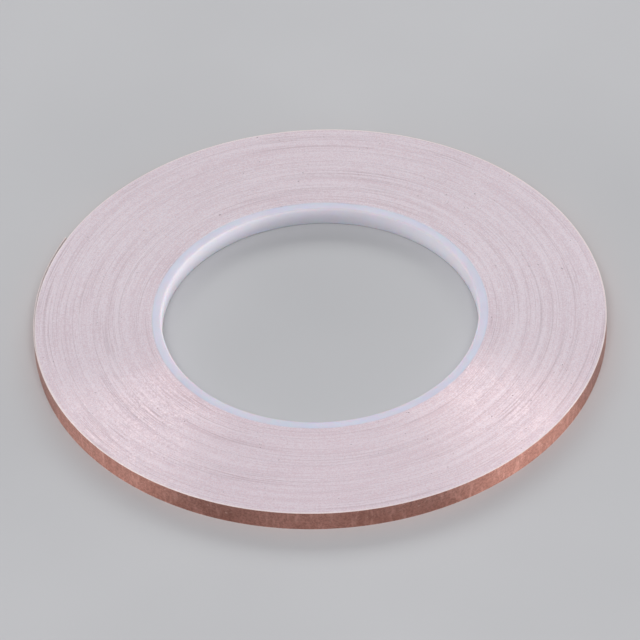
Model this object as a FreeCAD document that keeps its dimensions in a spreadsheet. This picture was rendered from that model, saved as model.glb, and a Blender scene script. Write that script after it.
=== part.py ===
import FreeCAD, Part
import math
import os

import Sketcher

# Copper foil tape roll for stained glass work, in millimetres.
#
# A flat roll of narrow tape lies on its side: the roll's axis is +Z and the origin is on that axis at the lower
# face. Three strips are wound together on a plastic core. From outside to inside each turn is copper foil,
# adhesive film and paper release liner. The last full turn and the free end are separate strips, and the turns
# below them are one block.
#
# A wound turn is two half circles whose centres stand a quarter of the pitch either side of the axis, so the
# radius falls by one pitch per turn and the curve stays smooth where the halves meet. In each body the seam,
# where the free end leaves the roll, is on the body's own +X axis, and Placement turns it to its azimuth. The
# winding runs inwards anticlockwise from the seam, and the free end lies clockwise of it.

SIZES = {
    "strip_width": (5.0, "width of the tape and height of the core"),
    "bore_radius": (38.1, "3 inch core bore"),
    "core_wall": (2.25, "wall of the core"),
    "bore_edge_radius": (0.5, "rounding of the core's bore edges"),
    "rim_edge_radius": (0.12, "rounding of the core's outer edges"),
    "foil_thickness": (0.035, "copper foil"),
    "adhesive_thickness": (0.03, "adhesive film on the foil"),
    "liner_thickness": (0.13, "paper release liner"),
    "turn_count": (146, "turns on the core, for 50 m of tape"),
    "starter_thickness": (0.1, "double-sided starter tape"),
    "starter_angle": (17.0, "degrees of the core under the starter tape"),
    "seam_azimuth": (190.0, "degrees, where the free end leaves the roll"),
    "end_angle": (36.5, "degrees of arc in the free end"),
    "end_radius": (70.4, "outer radius of the free end, slacker than the roll"),
    "end_clearance": (0.05, "gap under the free end and at its foot"),
    "peel_clearance": (0.02, "gap between adhesive and liner in the free end"),
}

# What follows from the sizes. Wound layers are given by the radius at which their last turn starts, and those of
# the free end by their radius about its own centre, which stands back from the roll's axis.
DERIVED = {
    "pitch": "Sizes.foil_thickness + Sizes.adhesive_thickness + Sizes.liner_thickness",
    "half_centre": "Derived.pitch / 4",
    "core_outer": "Sizes.bore_radius + Sizes.core_wall",
    "starter_outer": "Derived.core_outer + Sizes.starter_thickness",
    "foil_outer": "Derived.core_outer + Sizes.turn_count * Derived.pitch",
    "adhesive_outer": "Derived.foil_outer - Sizes.foil_thickness",
    "liner_outer": "Derived.adhesive_outer - Sizes.adhesive_thickness",
    "block_outer": "Derived.liner_outer - Sizes.liner_thickness",
    "end_adhesive_outer": "Sizes.end_radius - Sizes.foil_thickness",
    "end_adhesive_inner": "Derived.end_adhesive_outer - Sizes.adhesive_thickness",
    "end_liner_outer": "Derived.end_adhesive_inner - Sizes.peel_clearance",
    "end_liner_inner": "Derived.end_liner_outer - Sizes.liner_thickness",
    "end_setback": "Sizes.end_radius - Derived.foil_outer - Sizes.end_clearance - Sizes.peel_clearance",
    "no_setback": "0 * Derived.pitch",
}

# Sketcher's numbers for the X axis, the origin and the points of an edge.
X_AXIS = -1
ORIGIN = (-1, 1)
START, FINISH, CENTRE = 1, 2, 3


def make_sheet(doc):
    """Put the driving dimensions in a spreadsheet, one named cell each."""
    sheet = doc.addObject("Spreadsheet::Sheet", "Sizes")
    for row, (name, (value, meaning)) in enumerate(SIZES.items(), start=1):
        sheet.set(f"A{row}", meaning)
        sheet.set(f"B{row}", str(value))
        sheet.setAlias(f"B{row}", name)
    doc.recompute()


def make_derived(doc):
    """Keep the radii that follow from the sheet as variables bound to its cells."""
    derived = doc.addObject("App::VarSet", "Derived")
    for name in DERIVED:
        derived.addProperty("App::PropertyFloat", name, "Radii")
    for name, expression in DERIVED.items():
        derived.setExpression(name, expression)
    doc.recompute()


def value_of(doc, name):
    """The present value of a size, named as in an expression, such as Sizes.bore_radius."""
    holder, key = name.split(".")
    return float(getattr(doc.getObject(holder), key))


def new_body(doc, name):
    """A body turned about the roll's axis so that its +X axis points at the seam."""
    body = doc.addObject("PartDesign::Body", name)
    body.Label = name
    body.Placement = FreeCAD.Placement(FreeCAD.Vector(), FreeCAD.Rotation(FreeCAD.Vector(0, 0, 1), 1))
    body.setExpression("Placement.Rotation.Angle", "Sizes.seam_azimuth * 1deg")
    return body


def new_sketch(body, name, plane_role="XY_Plane"):
    """A sketch on one of the body's own origin planes."""
    sketch = body.newObject("Sketcher::SketchObject", name)
    plane = next(f for f in body.Origin.OriginFeatures if f.Role == plane_role)
    sketch.AttachmentSupport = (plane, [""])
    sketch.MapMode = "FlatFace"
    return sketch


def relate(sketch, *relations):
    """Add constraints that carry no size, such as two points that meet."""
    for relation in relations:
        sketch.addConstraint(Sketcher.Constraint(*relation))


def dimension(sketch, kind, *where, to):
    """Add a length or radius and tie it to a named size."""
    value = value_of(sketch.Document, to)
    index = sketch.addConstraint(Sketcher.Constraint(kind, *where, value))
    sketch.setExpression(f"Constraints[{index}]", to)


def draw_arc(sketch, centre_x, radius, first, last):
    """Draw an arc about a point on the X axis, anticlockwise between two angles in degrees."""
    circle = Part.Circle(FreeCAD.Vector(centre_x, 0, 0), FreeCAD.Vector(0, 0, 1), radius)
    return sketch.addGeometry(Part.ArcOfCircle(circle, math.radians(first), math.radians(last)))


def join(sketch, start, finish):
    """Draw a line between two (edge, point) corners of other edges, and fix its ends to them."""
    line = sketch.addGeometry(Part.LineSegment(sketch.getPoint(*start), sketch.getPoint(*finish)))
    relate(sketch, ("Coincident", line, START, *start), ("Coincident", line, FINISH, *finish))
    return line


def draw_turn(sketch, radius):
    """Draw one wound turn, from the seam at a named radius to the seam one pitch further in.

    Returns its outer end and its inner end as (edge, point).
    """
    start = value_of(sketch.Document, radius)
    offset = value_of(sketch.Document, "Derived.half_centre")
    upper = draw_arc(sketch, offset, start - offset, 0, 180)
    lower = draw_arc(sketch, -offset, start - 3 * offset, 180, 360)
    relate(
        sketch,
        ("Coincident", upper, FINISH, lower, START),
        ("PointOnObject", upper, CENTRE, X_AXIS),
        ("PointOnObject", lower, CENTRE, X_AXIS),
        ("PointOnObject", upper, START, X_AXIS),
        ("PointOnObject", upper, FINISH, X_AXIS),
        ("PointOnObject", lower, FINISH, X_AXIS),
    )
    dimension(sketch, "DistanceX", *ORIGIN, upper, CENTRE, to="Derived.half_centre")
    dimension(sketch, "DistanceX", lower, CENTRE, *ORIGIN, to="Derived.half_centre")
    dimension(sketch, "DistanceX", *ORIGIN, upper, START, to=radius)
    return (upper, START), (lower, FINISH)


def draw_band(sketch, outer, inner, setback, foot, sweep):
    """Draw a curved band that runs clockwise from its foot near the X axis. All five sizes are names.

    The band's two arcs share a centre that stands back from the origin along -X. Its foot is parallel to the
    X axis and a little below it, and its far end is square to the band.
    """
    back, drop, angle = (value_of(sketch.Document, name) for name in (setback, foot, sweep))
    arcs = []
    for name in (outer, inner):
        radius = value_of(sketch.Document, name)
        arc = draw_arc(sketch, -back, radius, -angle, -math.degrees(math.asin(drop / radius)))
        dimension(sketch, "Radius", arc, to=name)
        arcs.append(arc)
    first, second = arcs
    foot_line = join(sketch, (second, FINISH), (first, FINISH))
    far_line = join(sketch, (second, START), (first, START))
    relate(
        sketch,
        ("Coincident", first, CENTRE, second, CENTRE),
        ("PointOnObject", first, CENTRE, X_AXIS),
        ("PointOnObject", first, CENTRE, far_line),
        ("Horizontal", foot_line),
    )
    dimension(sketch, "DistanceX", first, CENTRE, *ORIGIN, to=setback)
    dimension(sketch, "DistanceY", first, FINISH, *ORIGIN, to=foot)
    index = sketch.addConstraint(Sketcher.Constraint("Angle", far_line, -math.radians(angle)))
    sketch.setExpression(f"Constraints[{index}]", f"-{sweep} * 1deg")


def pad(body, sketch):
    """Extrude a profile across the width of the strip."""
    feature = body.newObject("PartDesign::Pad", f"{body.Name}_pad")
    feature.Profile = sketch
    feature.setExpression("Length", "Sizes.strip_width")
    return feature


def make_core(doc):
    """The moulded ring: a turned rectangle with rounded edges, the bore's rounder than the rim's."""
    body = new_body(doc, "core")
    sketch = new_sketch(body, "core_section", "XZ_Plane")
    bore = value_of(doc, "Sizes.bore_radius")
    rim = value_of(doc, "Derived.core_outer")
    top = value_of(doc, "Sizes.strip_width")
    corners = [FreeCAD.Vector(*c, 0) for c in ((bore, 0), (rim, 0), (rim, top), (bore, top))]
    sides = [
        sketch.addGeometry(Part.LineSegment(corners[i], corners[(i + 1) % 4]))
        for i in range(4)
    ]
    for i, side in enumerate(sides):
        relate(sketch, ("Coincident", side, FINISH, sides[(i + 1) % 4], START))
        relate(sketch, ("Vertical" if i % 2 else "Horizontal", side))
    relate(sketch, ("PointOnObject", sides[0], START, X_AXIS))
    dimension(sketch, "DistanceX", *ORIGIN, sides[0], START, to="Sizes.bore_radius")
    dimension(sketch, "DistanceX", *ORIGIN, sides[0], FINISH, to="Derived.core_outer")
    dimension(sketch, "DistanceY", *ORIGIN, sides[2], START, to="Sizes.strip_width")
    ring = body.newObject("PartDesign::Revolution", "core_ring")
    ring.Profile = sketch
    ring.ReferenceAxis = (sketch, ["V_Axis"])
    ring.Angle = 360
    doc.recompute()
    round_edges(body, ring, "core_bore_edges", bore, "Sizes.bore_edge_radius")
    round_edges(body, body.Tip, "core_rim_edges", rim, "Sizes.rim_edge_radius")
    return body


def round_edges(body, base, name, radius, rounding):
    """Fillet the full circles of one radius on a feature of a body."""
    edges = [
        f"Edge{number}"
        for number, edge in enumerate(base.Shape.Edges, start=1)
        if isinstance(edge.Curve, Part.Circle) and abs(edge.Curve.Radius - radius) < 1e-6
    ]
    fillet = body.newObject("PartDesign::Fillet", name)
    fillet.Base = (base, edges)
    fillet.setExpression("Radius", rounding)
    body.Document.recompute()


def make_starter_tape(doc):
    """The short double-sided tape that holds the first turn on the core."""
    body = new_body(doc, "starter_tape")
    sketch = new_sketch(body, "starter_profile")
    draw_starter(sketch, "Derived.core_outer")
    pad(body, sketch)
    return body


def draw_starter(sketch, inner):
    """The starter tape's outline, from a named inner radius."""
    draw_band(
        sketch,
        "Derived.starter_outer",
        inner,
        setback="Derived.no_setback",
        foot="Derived.no_setback",
        sweep="Sizes.starter_angle",
    )


def make_wound_turns(doc):
    """Every turn below the last as one block, with a step at the seam and room for the starter tape."""
    body = new_body(doc, "wound_turns")
    sketch = new_sketch(body, "block_profile")
    outer_end, inner_end = draw_turn(sketch, "Derived.block_outer")
    join(sketch, inner_end, outer_end)
    core = Part.Circle(FreeCAD.Vector(), FreeCAD.Vector(0, 0, 1), value_of(doc, "Derived.core_outer"))
    hole = sketch.addGeometry(core)
    relate(sketch, ("Coincident", hole, CENTRE, *ORIGIN))
    dimension(sketch, "Radius", hole, to="Derived.core_outer")
    block = pad(body, sketch)
    doc.recompute()
    recess = new_sketch(body, "starter_recess")
    draw_starter(recess, "Sizes.bore_radius")
    cut = body.newObject("PartDesign::Pocket", "starter_pocket")
    cut.Profile = recess
    cut.Type = "ThroughAll"
    cut.Midplane = True
    doc.recompute()
    if not cut.Shape.Volume < block.Shape.Volume:
        raise RuntimeError("the starter tape's recess cuts nothing from the wound turns")
    return body


def make_last_turn(doc, layer, outer, inner):
    """One layer of the outermost full turn, between two named radii at the seam."""
    body = new_body(doc, f"{layer}_last_turn")
    sketch = new_sketch(body, f"{layer}_turn_profile")
    outer_ends = draw_turn(sketch, outer)
    inner_ends = draw_turn(sketch, inner)
    for near, far in zip(inner_ends, outer_ends):
        join(sketch, near, far)
    pad(body, sketch)
    return body


def make_free_end(doc, layer, outer, inner):
    """One layer of the free end, which eases off the roll from the seam to its cut tip."""
    body = new_body(doc, f"{layer}_free_end")
    sketch = new_sketch(body, f"{layer}_end_profile")
    draw_band(
        sketch,
        outer,
        inner,
        setback="Derived.end_setback",
        foot="Sizes.end_clearance",
        sweep="Sizes.end_angle",
    )
    pad(body, sketch)
    return body


def check(doc, bodies):
    """Stop if any object failed to recompute or a sub-part isn't one sound solid."""
    failed = [o.Name for o in doc.Objects if {"Invalid", "Error"} & set(o.State)]
    if failed:
        raise RuntimeError(f"these objects did not recompute: {failed}")
    for body in bodies:
        shape = body.Shape
        if shape.isNull() or not shape.isValid() or len(shape.Solids) != 1:
            raise RuntimeError(f"{body.Label} is not one valid solid")


def build():
    """Build every sub-part and write each to parts/NODE.step."""
    doc = FreeCAD.newDocument("copper_foil_tape_roll")
    make_sheet(doc)
    make_derived(doc)
    bodies = [
        make_core(doc),
        make_starter_tape(doc),
        make_wound_turns(doc),
        make_last_turn(doc, "liner", "Derived.liner_outer", "Derived.block_outer"),
        make_last_turn(doc, "adhesive", "Derived.adhesive_outer", "Derived.liner_outer"),
        make_last_turn(doc, "foil", "Derived.foil_outer", "Derived.adhesive_outer"),
        make_free_end(doc, "liner", "Derived.end_liner_outer", "Derived.end_liner_inner"),
        make_free_end(doc, "adhesive", "Derived.end_adhesive_outer", "Derived.end_adhesive_inner"),
        make_free_end(doc, "foil", "Sizes.end_radius", "Derived.end_adhesive_outer"),
    ]
    doc.recompute()
    check(doc, bodies)
    os.makedirs("parts", exist_ok=True)
    for body in bodies:
        body.Shape.exportStep(f"parts/{body.Label}.step")


build()
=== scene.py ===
import math

import bmesh
import bpy
import numpy as np
from mathutils import Matrix, Vector


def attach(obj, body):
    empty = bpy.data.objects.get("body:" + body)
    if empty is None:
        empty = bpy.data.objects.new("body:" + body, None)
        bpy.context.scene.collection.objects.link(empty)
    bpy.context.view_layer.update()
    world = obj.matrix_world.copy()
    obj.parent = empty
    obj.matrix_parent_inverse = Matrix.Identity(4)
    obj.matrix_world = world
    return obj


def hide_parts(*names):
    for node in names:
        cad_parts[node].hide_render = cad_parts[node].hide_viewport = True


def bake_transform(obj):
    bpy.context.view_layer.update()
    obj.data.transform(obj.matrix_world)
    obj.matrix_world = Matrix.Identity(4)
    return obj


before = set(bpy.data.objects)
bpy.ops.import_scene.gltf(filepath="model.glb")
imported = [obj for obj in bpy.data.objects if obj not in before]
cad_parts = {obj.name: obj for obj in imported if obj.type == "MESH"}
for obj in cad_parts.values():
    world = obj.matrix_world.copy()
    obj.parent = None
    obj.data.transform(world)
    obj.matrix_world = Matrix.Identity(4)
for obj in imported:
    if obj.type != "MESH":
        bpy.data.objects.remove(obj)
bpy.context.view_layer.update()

# A flat roll of copper foil tape lying on its side. Lengths are in millimetres until a mesh is made. The
# materials' noise scales and bump distances and the whole studio are in metres. The roll's axis is +Z. Angles
# along the winding are local: zero at the seam, where the free end leaves the roll, and growing
# anticlockwise, the way the winding runs inwards.
MM = 0.001
TAU = 2 * math.pi

WIDTH = 5.0
BORE_RADIUS = 38.1
CORE_OUTER = 40.35
BORE_EDGE = 0.5
RIM_EDGE = 0.12
FOIL = 0.035
ADHESIVE = 0.03
LINER = 0.13
PITCH = FOIL + ADHESIVE + LINER
TURNS = 146
FOIL_OUTER = CORE_OUTER + TURNS * PITCH
STARTER_OUTER = CORE_OUTER + 0.1
STARTER_ANGLE = math.radians(17)
SEAM = math.radians(190)
END_ANGLE = math.radians(36.5)
END_RADIUS = 70.4
END_STEPS = 150
END_CLEARANCE = 0.05
PEEL_GAP = 0.02
END_SETBACK = END_RADIUS - FOIL_OUTER - END_CLEARANCE - PEEL_GAP
EASE_ANGLE = math.radians(3.5)
BEVEL_SHARE = 0.22
FINE_STEPS = 720
PLAIN_STEPS = 360
JUST_SHORT = 1e-9  # keeps the last point of a full turn inside that turn

# For each layer of the last turn: outer radius at the seam, thickness and outer radius in the free end.
LAYERS = {
    "foil": (FOIL_OUTER, FOIL, END_RADIUS),
    "adhesive": (FOIL_OUTER - FOIL, ADHESIVE, END_RADIUS - FOIL),
    "liner": (FOIL_OUTER - FOIL - ADHESIVE, LINER, END_RADIUS - FOIL - ADHESIVE - PEEL_GAP),
}
SLOTS = {"foil": "copper_foil", "adhesive": "adhesive", "liner": "liner_paper"}


# ---------------------------------------------------------------------------------------------- meshes

def turn_radius(start, angle):
    """Radius of a wound surface at local angles of one turn or many, from its radius at the seam."""
    turn = np.floor(angle / TAU)
    rest = angle - turn * TAU
    first = start - turn * PITCH
    centre = np.where(rest < math.pi, PITCH / 4, -PITCH / 4)
    radius = np.where(rest < math.pi, first - PITCH / 4, first - 3 * PITCH / 4)
    return centre * np.cos(rest) + np.sqrt(radius**2 - (centre * np.sin(rest)) ** 2)


def place(radius, angle, height):
    """Points in metres from arrays of radius, local angle and height."""
    azimuth = angle + SEAM
    points = np.stack([radius * np.cos(azimuth), radius * np.sin(azimuth), height + 0 * radius], axis=-1)
    return points * MM


def sweep(corners, closed):
    """Vertices and faces of a section swept along a path, from corners of shape (path points, sides, 3)."""
    count, sides = corners.shape[:2]
    row = np.arange(count if closed else count - 1)[:, None]
    column = np.arange(sides)[None, :]
    here, there = row * sides, (row + 1) % count * sides
    after = (column + 1) % sides
    quads = np.stack([here + column, there + column, there + after, here + after], axis=-1)
    faces = quads.reshape(-1, 4).tolist()
    if not closed:
        faces.append(list(range(sides)))
        faces.append(list(range((count - 1) * sides, count * sides))[::-1])
    return corners.reshape(-1, 3), faces


def new_piece(name, shells, smooth_angle=None):
    """An object made of closed shells, each given as vertices and faces.

    With a smooth_angle, in degrees, edges up to that angle are shaded smooth and sharper ones stay sharp.
    """
    vertices, faces = [], []
    for points, polygons in shells:
        base = sum(len(v) for v in vertices)
        vertices.append(points)
        faces.extend([base + i for i in polygon] for polygon in polygons)
    mesh = bpy.data.meshes.new(name)
    mesh.from_pydata(np.concatenate(vertices).tolist(), [], faces)
    shape = bmesh.new()
    shape.from_mesh(mesh)
    bmesh.ops.recalc_face_normals(shape, faces=shape.faces)
    shape.to_mesh(mesh)
    shape.free()
    if smooth_angle is not None:
        mesh.shade_smooth()
        mesh.set_sharp_from_angle(angle=math.radians(smooth_angle))
    piece = bpy.data.objects.new(name, mesh)
    bpy.context.scene.collection.objects.link(piece)
    return piece


def strip_section(inner, outer, angle, bevel):
    """Corners of a full-width strip between two radii, its four long edges slightly bevelled."""
    profile = [
        (inner + bevel, 0),
        (outer - bevel, 0),
        (outer, bevel),
        (outer, WIDTH - bevel),
        (outer - bevel, WIDTH),
        (inner + bevel, WIDTH),
        (inner, WIDTH - bevel),
        (inner, bevel),
    ]
    return np.stack([place(radius, angle, height) for radius, height in profile], axis=1)


def make_last_turn(layer):
    """One layer of the outermost full turn."""
    start, thickness, _ = LAYERS[layer]
    angle = np.linspace(0, TAU, FINE_STEPS + 1)
    angle[-1] -= JUST_SHORT
    outer = turn_radius(start, angle)
    inner = turn_radius(start - thickness, angle)
    shell = sweep(strip_section(inner, outer, angle, thickness * BEVEL_SHARE), closed=False)
    return new_piece(f"{layer}_outer_turn", [shell], smooth_angle=35)


def end_radius(arc_radius, angle):
    """Radius from the roll's axis of an arc about the free end's own centre."""
    across = END_SETBACK * np.sin(angle)
    return np.sqrt(arc_radius**2 - across**2) - END_SETBACK * np.cos(angle)


def make_free_end(layer):
    """One layer of the free end: it leaves the last turn at the seam and eases off the roll."""
    start, thickness, arc_outer = LAYERS[layer]
    tip_ahead = END_RADIUS * math.cos(END_ANGLE) - END_SETBACK
    reach = math.atan2(END_RADIUS * math.sin(END_ANGLE), tip_ahead)
    angle = -np.linspace(0, reach, END_STEPS + 1)
    ease = np.clip(-angle / EASE_ANGLE, 0, 1)
    ease = ease * ease * (3 - 2 * ease)
    outer = start + (end_radius(arc_outer, angle) - start) * ease
    inner_start = start - thickness
    inner = inner_start + (end_radius(arc_outer - thickness, angle) - inner_start) * ease
    shell = sweep(strip_section(inner, outer, angle, thickness * BEVEL_SHARE), closed=False)
    return new_piece(f"{layer}_loose_end", [shell], smooth_angle=35)


SEGMENTS_PER_TURN = 84
EDGE_TURNS = TURNS - 1.4
WANDER_KNOTS = 26
SPARE_TURNS = 8
EDGE_FLOOR_GAP = 0.002
NARROWEST_EDGE = 0.012
BLOCK_FACE = 0.020  # how far the wound block's faces lie below the core's faces
ROOT_LEVEL = BLOCK_FACE + 0.003
# For each layer: its edge's mean depth below the core's face, how much that wanders, and its side slope.
EDGE_RELIEF = {
    "foil": (0.010, 0.003, 0.008),
    "adhesive": (0.014, 0.002, 0.006),
    "liner": (0.011, 0.005, 0.012),
}


def wander(rng, turns, knots):
    """A smooth random field over (turn, angle), periodic in angle, within -1 to 1."""
    field = rng.standard_normal((turns + SPARE_TURNS, knots))
    for axis in (0, 1):
        field = (np.roll(field, 1, axis) + 2 * field + np.roll(field, -1, axis)) / 4
    return field / np.abs(field).max()


def sample(field, angle):
    """Read a field from wander along the winding."""
    turns, knots = field.shape
    turn = np.clip((angle / TAU).astype(int), 0, turns - 1)
    place_along = angle / TAU % 1 * knots
    knot = place_along.astype(int) % knots
    share = place_along - np.floor(place_along)
    return field[turn, knot] * (1 - share) + field[turn, (knot + 1) % knots] * share


def make_wound_edges(layer, seed):
    """Both edges of one strip in the turns below the last, a shallow ridge along each side of the roll."""
    start, thickness, _ = LAYERS[layer]
    depth, wandering, slope = EDGE_RELIEF[layer]
    steps = int(EDGE_TURNS * SEGMENTS_PER_TURN)
    angle = np.arange(SEGMENTS_PER_TURN, steps + 1) / SEGMENTS_PER_TURN * TAU
    outer = turn_radius(start, angle)
    inner = turn_radius(start - thickness, angle)
    # The innermost turns end on the core, or on the starter tape, which lies just before the seam.
    over_starter = (TAU - angle % TAU < STARTER_ANGLE) & (angle > (TURNS - 3) * TAU)
    floor_radius = np.where(over_starter, STARTER_OUTER, CORE_OUTER) + EDGE_FLOOR_GAP
    inner = np.maximum(inner, floor_radius)
    outer = np.maximum(outer, inner + NARROWEST_EDGE)
    slope = np.minimum(slope, (outer - inner) * 0.4)
    rng = np.random.default_rng(seed)
    shells = []
    for side in (0, 1):
        field = wander(rng, TURNS, WANDER_KNOTS)
        edge = depth + wandering * sample(field, angle)
        levels = (ROOT_LEVEL, edge, edge, ROOT_LEVEL)
        radii = (outer, outer - slope, inner + slope, inner)
        heights = [WIDTH - level if side else level for level in levels]
        corners = np.stack([place(r, angle, h) for r, h in zip(radii, heights)], axis=1)
        shells.append(sweep(corners, closed=False))
    return new_piece(f"{layer}_wound_edges", shells)


def make_wound_block():
    """The mass of turns behind the strips' edges."""
    angle = np.linspace(0, TAU, PLAIN_STEPS + 1)
    angle[-1] -= JUST_SHORT
    outer = turn_radius(FOIL_OUTER - PITCH, angle)
    inner = np.full_like(angle, CORE_OUTER)
    low, high = BLOCK_FACE, WIDTH - BLOCK_FACE
    profile = [(inner, low), (outer, low), (outer, high), (inner, high)]
    corners = np.stack([place(r, angle, h) for r, h in profile], axis=1)
    return new_piece("wound_block", [sweep(corners, closed=False)], smooth_angle=35)


CORNER_STEPS = 6


def make_core():
    """The moulded ring, turned from a section with rounded edges."""
    profile = []
    # Each corner: radius, height, rounding and the direction in degrees from which its arc starts.
    edges = [
        (BORE_RADIUS, 0, BORE_EDGE, 180),
        (CORE_OUTER, 0, RIM_EDGE, 270),
        (CORE_OUTER, WIDTH, RIM_EDGE, 0),
        (BORE_RADIUS, WIDTH, BORE_EDGE, 90),
    ]
    for radius, height, rounding, first in edges:
        centre_radius = radius + rounding if radius == BORE_RADIUS else radius - rounding
        centre_height = height + rounding if height == 0 else height - rounding
        for step in range(CORNER_STEPS + 1):
            turn = math.radians(first + step * 90 / CORNER_STEPS)
            across = centre_radius + rounding * math.cos(turn)
            up = centre_height + rounding * math.sin(turn)
            profile.append((across, up))
    angle = np.arange(PLAIN_STEPS) / PLAIN_STEPS * TAU
    corners = np.stack([place(np.full_like(angle, r), angle, h) for r, h in profile], axis=1)
    return new_piece("core_ring", [sweep(corners, closed=True)], smooth_angle=40)


# ------------------------------------------------------------------------------------------- materials

class Nodes:
    """Short ways to make and link the nodes of one material."""

    def __init__(self, name):
        self.material = bpy.data.materials.new(name)
        self.material.use_nodes = True
        self.tree = self.material.node_tree
        self.shader = self.tree.nodes["Principled BSDF"]

    def add(self, kind, **settings):
        node = self.tree.nodes.new(kind)
        for key, value in settings.items():
            setattr(node, key, value)
        return node

    def feed(self, socket, value):
        if isinstance(value, bpy.types.NodeSocket):
            self.tree.links.new(value, socket)
        else:
            socket.default_value = value

    def math(self, operation, *values):
        node = self.add("ShaderNodeMath", operation=operation)
        for socket, value in zip(node.inputs, values):
            self.feed(socket, value)
        return node.outputs[0]

    def coordinates(self):
        """The shaded point in the piece's own frame, in metres."""
        return self.add("ShaderNodeTexCoord").outputs["Object"]

    def noise(self, vector, scale, detail=2.0, roughness=0.5):
        node = self.add("ShaderNodeTexNoise")
        self.feed(node.inputs["Vector"], vector)
        node.inputs["Scale"].default_value = scale
        node.inputs["Detail"].default_value = detail
        node.inputs["Roughness"].default_value = roughness
        return node.outputs[0]

    def spread(self, value, low, high, to_low=0.0, to_high=1.0):
        """Map a range of a value onto another, clamped and smooth."""
        node = self.add("ShaderNodeMapRange", interpolation_type="SMOOTHSTEP")
        for socket, number in zip(node.inputs, (value, low, high, to_low, to_high)):
            self.feed(socket, number)
        return node.outputs[0]

    def mix(self, share, first, second):
        node = self.add("ShaderNodeMix", data_type="RGBA")
        self.feed(node.inputs["Factor"], share)
        for key, colour in (("A", first), ("B", second)):
            socket = [s for s in node.inputs if s.name == key and s.type == "RGBA"][0]
            self.feed(socket, colour if isinstance(colour, bpy.types.NodeSocket) else (*colour, 1))
        return [s for s in node.outputs if s.type == "RGBA"][0]

    def vector(self, x, y, z):
        node = self.add("ShaderNodeCombineXYZ")
        for socket, value in zip(node.inputs, (x, y, z)):
            self.feed(socket, value)
        return node.outputs[0]

    def polar(self):
        """Unit direction from the roll's axis, radius and height of the shaded point, in millimetres."""
        separate = self.add("ShaderNodeSeparateXYZ")
        self.feed(separate.inputs[0], self.coordinates())
        x, y, z = separate.outputs
        square = self.math("ADD", self.math("MULTIPLY", x, x), self.math("MULTIPLY", y, y))
        radius = self.math("SQRT", square)
        along_x = self.math("DIVIDE", x, radius)
        along_y = self.math("DIVIDE", y, radius)
        radius_mm = self.math("MULTIPLY", radius, 1 / MM)
        height_mm = self.math("MULTIPLY", z, 1 / MM)
        return along_x, along_y, radius_mm, height_mm

    def streaks(self, polar, per_radian, per_mm, per_mm_height=0.0, seed=0.0, detail=2.0):
        """Noise drawn out along the turns: cells per radian round the roll and per millimetre across it."""
        along_x, along_y, radius, height = polar
        across = self.math("ADD", self.math("MULTIPLY", radius, per_mm), seed)
        if per_mm_height:
            across = self.math("ADD", across, self.math("MULTIPLY", height, per_mm_height))
        round_x = self.math("MULTIPLY", along_x, per_radian)
        round_y = self.math("MULTIPLY", along_y, per_radian)
        return self.noise(self.vector(round_x, round_y, across), 1.0, detail)

    def leaning(self, polar, lean):
        """The surface's own normal, leant away from the roll's axis."""
        out_x = self.math("MULTIPLY", polar[0], lean)
        out_y = self.math("MULTIPLY", polar[1], lean)
        outwards = self.vector(out_x, out_y, 0.0)
        total = self.add("ShaderNodeVectorMath", operation="ADD")
        self.feed(total.inputs[0], self.add("ShaderNodeNewGeometry").outputs["Normal"])
        self.feed(total.inputs[1], outwards)
        unit = self.add("ShaderNodeVectorMath", operation="NORMALIZE")
        self.feed(unit.inputs[0], total.outputs[0])
        return unit.outputs[0]

    def bump(self, height, distance, strength=1.0, normal=None):
        node = self.add("ShaderNodeBump")
        if normal is not None:
            self.feed(node.inputs["Normal"], normal)
        node.inputs["Strength"].default_value = strength
        node.inputs["Distance"].default_value = distance
        self.feed(node.inputs["Height"], height)
        self.feed(self.shader.inputs["Normal"], node.outputs[0])

    def finish(self, colour, roughness, **fixed):
        self.feed(self.shader.inputs["Base Color"], colour)
        self.feed(self.shader.inputs["Roughness"], roughness)
        for key, value in fixed.items():
            self.shader.inputs[key.replace("_", " ")].default_value = value
        return self.material


# Colour of the painted highlight along the roll's outer rim.
RIM_HIGHLIGHT = (0.94, 0.84, 0.82)
SPECK_DARK = (0.20, 0.12, 0.14)


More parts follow.
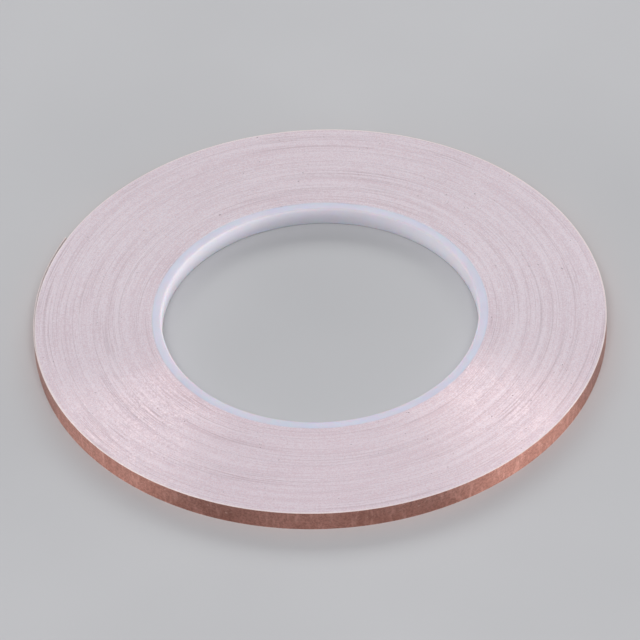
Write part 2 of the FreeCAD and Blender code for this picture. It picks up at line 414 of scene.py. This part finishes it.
def edge_material(name, pale, tinted, dark, light, lean, **fixed):
    """A slit edge seen among the wound turns: its tone drifts in bands, long thin arcs and a papery grain,
    with painted glints in the light colour and a painted highlight along the outer rim.

    The knife leaves the edge leaning outwards, by lean as a share of upright.
    """
    m = Nodes(name)
    polar = m.polar()
    radius = polar[2]
    coordinates = m.coordinates()
    bands = m.streaks(polar, 1.3, 0.5, seed=3.1, detail=1.0)
    arcs = m.streaks(polar, 1.9, 1.2, seed=17.0, detail=1.5)
    fibres = m.streaks(polar, 4.0, 3.4, seed=29.0, detail=1.0)
    strands = m.streaks(polar, 18.0, 5.1, seed=41.0, detail=2.0)
    grain = m.noise(coordinates, 3300.0, 1.0, 0.6)
    tone = m.spread(radius, CORE_OUTER, CORE_OUTER + 4.5, 0.20, 0.0)
    for pattern, weight in ((bands, 0.7), (arcs, 0.8), (fibres, 0.6), (strands, 0.6), (grain, 1.8)):
        tone = m.math("ADD", tone, m.math("MULTIPLY", pattern, weight))
    colour = m.mix(m.spread(tone, 1.85, 2.70), pale, tinted)
    lines = m.streaks(polar, 1.5, 3.9, seed=77.0, detail=0.6)
    colour = m.mix(m.spread(lines, 0.54, 0.76, 0.0, 0.34), colour, dark)
    patches = m.streaks(polar, 2.2, 0.16, seed=55.0, detail=1.0)
    patched = m.spread(patches, 0.54, 0.70, 0.0, 0.30)
    smears = m.math("MULTIPLY", patched, m.spread(fibres, 0.48, 0.66))
    colour = m.mix(smears, colour, dark)
    # Painted glints: short bright dashes mixed into the colour as painted highlights.
    painted_glints = m.streaks(polar, 34.0, 3.6, seed=91.0, detail=1.0)
    colour = m.mix(m.spread(painted_glints, 0.66, 0.78, 0.0, 0.55), colour, light)
    # Painted highlight: the edges within about 0.6 mm of the outer rim are lightened towards a pale peach.
    rim_highlight = m.spread(radius, FOIL_OUTER - 0.60, FOIL_OUTER - 0.25, 0.0, 0.7)
    colour = m.mix(rim_highlight, colour, RIM_HIGHLIGHT)
    specks = m.noise(coordinates, 1300.0, 1.0, 0.5)
    colour = m.mix(m.spread(specks, 0.76, 0.81, 0.0, 0.6), colour, SPECK_DARK)
    relief = m.math("ADD", strands, m.math("MULTIPLY", grain, 0.8))
    m.bump(relief, 0.00002, 0.8, m.leaning(polar, lean))
    roughness = m.spread(m.math("ADD", strands, grain), 0.72, 1.28, 0.28, 0.78)
    return m.finish(colour, roughness, **fixed)


def liner_edge_material():
    """Slit edge of the paper release liner, pale with a pink cast where the cut has smeared the foil."""
    return edge_material(
        "liner_edge",
        pale=(0.79, 0.725, 0.79),
        tinted=(0.69, 0.595, 0.665),
        dark=(0.45, 0.34, 0.39),
        light=(0.88, 0.83, 0.87),
        lean=0.10,
    )


def adhesive_edge_material():
    """Cut edge of the adhesive film, tackier and pinker than the paper."""
    return edge_material(
        "adhesive_edge",
        pale=(0.79, 0.68, 0.74),
        tinted=(0.69, 0.54, 0.595),
        dark=(0.45, 0.31, 0.36),
        light=(0.82, 0.74, 0.76),
        lean=0.5,
    )


def foil_edge_material():
    """Slit edge of the copper foil, bright where the knife left it clean."""
    return edge_material(
        "foil_edge",
        pale=(0.93, 0.71, 0.69),
        tinted=(0.91, 0.65, 0.62),
        dark=(0.58, 0.38, 0.36),
        light=(0.95, 0.82, 0.80),
        lean=1.6,
        Metallic=0.75,
    )


def paper_material():
    """Release liner: bleached paper with a faint fibre and a smooth coated side."""
    m = Nodes("liner_paper")
    coordinates = m.coordinates()
    fibre = m.noise(coordinates, 2600.0, 4.0, 0.7)
    cloud = m.noise(coordinates, 220.0, 3.0)
    colour = m.mix(m.spread(fibre, 0.35, 0.7), (0.80, 0.74, 0.77), (0.86, 0.82, 0.84))
    blush = m.math("MULTIPLY", m.spread(cloud, 0.4, 0.7), 0.3)
    colour = m.mix(blush, colour, (0.80, 0.70, 0.72))
    m.bump(fibre, 0.00001, 0.5)
    return m.finish(colour, m.spread(cloud, 0.3, 0.7, 0.42, 0.58))


def adhesive_material():
    """Clear adhesive film, which shows the copper it is coated on."""
    m = Nodes("adhesive_film")
    coordinates = m.coordinates()
    ripple = m.noise(coordinates, 900.0, 3.0, 0.6)
    colour = m.mix(m.spread(ripple, 0.35, 0.65), (0.70, 0.50, 0.44), (0.78, 0.60, 0.53))
    m.bump(ripple, 0.00002, 0.6)
    return m.finish(colour, m.spread(ripple, 0.3, 0.7, 0.22, 0.42), Coat_Weight=0.4)


def copper_material():
    """Bright rolled copper: fine rolling lines, soft tarnish, mottle, slight wrinkles and a few scuffs."""
    m = Nodes("copper_foil")
    polar = m.polar()
    lines = m.streaks(polar, 4.0, 0.0, per_mm_height=6.0, seed=5.0, detail=4.0)
    fine = m.streaks(polar, 22.0, 0.0, per_mm_height=26.0, seed=23.0, detail=2.0)
    coordinates = m.coordinates()
    tarnish = m.noise(coordinates, 110.0, 4.0, 0.6)
    colour = m.mix(m.spread(tarnish, 0.35, 0.68), (0.56, 0.29, 0.24), (0.46, 0.225, 0.18))
    lined = m.math("MULTIPLY", m.spread(lines, 0.4, 0.75), 0.3)
    colour = m.mix(lined, colour, (0.38, 0.17, 0.13))
    mottle = m.noise(coordinates, 1700.0, 3.0, 0.7)
    colour = m.mix(m.spread(mottle, 0.36, 0.60, 0.65, 0.0), colour, (0.30, 0.14, 0.11))
    wrinkles = m.streaks(polar, 60.0, 0.0, per_mm_height=0.3, seed=61.0, detail=2.5)
    colour = m.mix(m.spread(wrinkles, 0.50, 0.72, 0.0, 0.34), colour, (0.78, 0.45, 0.38))
    scuffed = m.spread(m.noise(coordinates, 700.0, 5.0, 0.75), 0.60, 0.70)
    colour = m.mix(m.math("MULTIPLY", scuffed, 0.45), colour, (0.95, 0.70, 0.60))
    rolled = m.spread(lines, 0.25, 0.75, 0.34, 0.41)
    roughness = m.math("ADD", rolled, m.math("MULTIPLY", scuffed, 0.10))
    relief = wrinkles
    for pattern, weight in ((lines, 0.3), (mottle, 0.25), (fine, 0.15)):
        relief = m.math("ADD", relief, m.math("MULTIPLY", pattern, weight))
    m.bump(relief, 0.00002, 0.8)
    around = m.add("ShaderNodeTangent", direction_type="RADIAL", axis="Z").outputs[0]
    m.feed(m.shader.inputs["Tangent"], around)
    return m.finish(colour, roughness, Metallic=1.0, Anisotropic=0.85, Anisotropic_Rotation=0.25)


def plastic_material():
    """Smooth moulded plastic, faintly lavender, with slight flow marks and wear, and painted shade that
    darkens the bore.
    """
    m = Nodes("core_plastic")
    coordinates = m.coordinates()
    cloud = m.noise(coordinates, 60.0, 4.0, 0.55)
    grain = m.noise(coordinates, 1400.0, 3.0, 0.6)
    colour = m.mix(m.spread(cloud, 0.35, 0.65), (0.64, 0.63, 0.735), (0.68, 0.67, 0.775))
    worn = m.math("MULTIPLY", m.spread(grain, 0.62, 0.75), 0.18)
    colour = m.mix(worn, colour, (0.48, 0.47, 0.55))
    radius = m.polar()[2]
    # Painted shade: the bore wall and its rounding are mixed halfway towards a darker grey.
    bore_shade = m.spread(radius, BORE_RADIUS + 0.1, BORE_RADIUS + 0.6, 0.5, 0.0)
    colour = m.mix(bore_shade, colour, (0.54, 0.52, 0.54))
    m.bump(grain, 0.000008, 0.4)
    return m.finish(
        colour,
        m.spread(cloud, 0.3, 0.7, 0.55, 0.62),
        Subsurface_Weight=0.45,
        Subsurface_Scale=0.002,
        Specular_IOR_Level=0.22,
    )


def starter_material():
    """Double-sided tape, a thin cloudy film."""
    m = Nodes("double_sided_tape")
    coordinates = m.coordinates()
    cloud = m.noise(coordinates, 500.0, 3.0)
    colour = m.mix(m.spread(cloud, 0.35, 0.65), (0.66, 0.60, 0.56), (0.74, 0.69, 0.64))
    return m.finish(colour, m.spread(cloud, 0.3, 0.7, 0.45, 0.6))


def floor_material():
    """A plain pale floor with the faintest mottle."""
    m = Nodes("studio_floor")
    coordinates = m.coordinates()
    cloud = m.noise(coordinates, 9.0, 3.0)
    colour = m.mix(m.spread(cloud, 0.3, 0.7), (0.55, 0.55, 0.56), (0.58, 0.58, 0.59))
    return m.finish(colour, m.spread(cloud, 0.3, 0.7, 0.92, 1.0), Specular_IOR_Level=0.1)


# ------------------------------------------------------------------------------------------ the object

def face_edges(piece, side, edge):
    """Give a full-width strip its side material and, on its two slit edges, the edge material."""
    piece.data.materials.append(side)
    piece.data.materials.append(edge)
    for polygon in piece.data.polygons:
        polygon.material_index = 1 if abs(polygon.normal.z) > 0.5 else 0


def dress(piece, material, slot, body, *nodes):
    """Give a piece its material and its body, and hide the CAD nodes it stands for.

    The material is one, or a pair of side material and edge material. The slot argument is not used.
    """
    if isinstance(material, tuple):
        face_edges(piece, *material)
    else:
        piece.data.materials.append(material)
    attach(piece, body)
    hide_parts(*nodes)


def build_roll(materials):
    """The core and everything wound on it."""
    dress(make_core(), materials["plastic"], "core_plastic", "roll", "core")
    dress(make_wound_block(), materials["liner_edge"], "wound_edges", "roll", "wound_turns")
    for seed, layer in enumerate(LAYERS, start=11):
        slot = SLOTS[layer]
        edge = materials[f"{layer}_edge"]
        dress(make_wound_edges(layer, seed), edge, slot, "roll", "wound_turns")
        dress(make_last_turn(layer), (materials[layer], edge), slot, "roll", f"{layer}_last_turn")
    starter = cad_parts["starter_tape"]
    starter.data.materials.clear()
    starter.data.materials.append(materials["starter"])


def build_free_end(materials):
    """The three layers of the free end, each bending tightly where it leaves the roll.

    The bend runs along the tangent, from 1.5 mm before the foot of the free end to 4.5 mm beyond it.
    """
    for layer in LAYERS:
        piece = make_free_end(layer)
        face_edges(piece, materials[layer], materials[f"{layer}_edge"])
        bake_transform(piece)
        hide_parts(f"{layer}_free_end")


# ------------------------------------------------------------------------------------------ the studio

def aim(target, place_at):
    """A world matrix at place_at, looking at target, with the horizon level."""
    back = (Vector(place_at) - Vector(target)).normalized()
    right = Vector((0, 0, 1)).cross(back).normalized()
    up = back.cross(right)
    return Matrix.Translation(place_at) @ Matrix((right, up, back)).transposed().to_4x4()


CAMERA_ELEVATION = math.radians(42.18)
CAMERA_DISTANCE = 1.075
CAMERA_ROLL = math.radians(-2.54)
CAMERA_TARGET = (-0.00006, 0.00277, 0)


def add_camera():
    """The view: a long lens about 42 degrees above the table, rolled slightly."""
    back = -CAMERA_DISTANCE * math.cos(CAMERA_ELEVATION)
    place_at = (0, back, CAMERA_DISTANCE * math.sin(CAMERA_ELEVATION))
    data = bpy.data.cameras.new("camera")
    data.sensor_width = 36
    data.lens = 251.1
    data.clip_start = 0.05
    camera = bpy.data.objects.new("camera", data)
    bpy.context.scene.collection.objects.link(camera)
    camera.matrix_world = aim(CAMERA_TARGET, place_at) @ Matrix.Rotation(CAMERA_ROLL, 4, "Z")
    bpy.context.scene.camera = camera


WHITE = (1, 1, 1)
WARM_WHITE = (1.0, 0.98, 0.97)
# Each light: name, place, width and height, power and colour. All are aimed at the middle of the roll.
LIGHTS = (
    ("behind", (0.0, 1.50, 0.90), (2.25, 0.55), 17.0, WHITE),
    ("front_fill", (0.0, -1.50, 1.90), (1.75, 1.0), 30.5, WHITE),
    ("left_side", (-2.44, -0.36, 0.20), (2.4, 0.20), 37.0, WARM_WHITE),
    ("right_side", (2.38, -0.64, 0.14), (2.4, 0.20), 58.0, WARM_WHITE),
)
FLOOR_HALF = 1.1
SKY_COLOUR = (0.80, 0.82, 0.88, 1)
SKY_STRENGTH = 0.28


def add_light(name, place_at, size, power, colour):
    """A rectangular soft light."""
    data = bpy.data.lights.new(name, "AREA")
    data.shape = "RECTANGLE"
    data.size, data.size_y = size
    data.energy = power
    data.color = colour
    light = bpy.data.objects.new(name, data)
    bpy.context.scene.collection.objects.link(light)
    light.matrix_world = aim((0, 0, 0), place_at)


def add_floor():
    """A plain pale floor under the roll."""
    corners = [(x * FLOOR_HALF, y * FLOOR_HALF, 0) for x, y in ((-1, -1), (1, -1), (1, 1), (-1, 1))]
    mesh = bpy.data.meshes.new("floor")
    mesh.from_pydata(corners, [], [(0, 1, 2, 3)])
    mesh.materials.append(floor_material())
    floor = bpy.data.objects.new("floor", mesh)
    bpy.context.scene.collection.objects.link(floor)


def add_studio():
    """The floor, a large light behind, a soft fill from the front, two low side lights and a dim sky."""
    add_floor()
    for light in LIGHTS:
        add_light(*light)
    world = bpy.data.worlds.new("studio")
    world.use_nodes = True
    sky = world.node_tree.nodes["Background"]
    sky.inputs["Color"].default_value = SKY_COLOUR
    sky.inputs["Strength"].default_value = SKY_STRENGTH
    bpy.context.scene.world = world
    bpy.context.scene.view_settings.view_transform = "Standard"


materials = {
    "plastic": plastic_material(),
    "foil": copper_material(),
    "adhesive": adhesive_material(),
    "liner": paper_material(),
    "foil_edge": foil_edge_material(),
    "adhesive_edge": adhesive_edge_material(),
    "liner_edge": liner_edge_material(),
    "starter": starter_material(),
}
build_roll(materials)
build_free_end(materials)
add_camera()
add_studio()
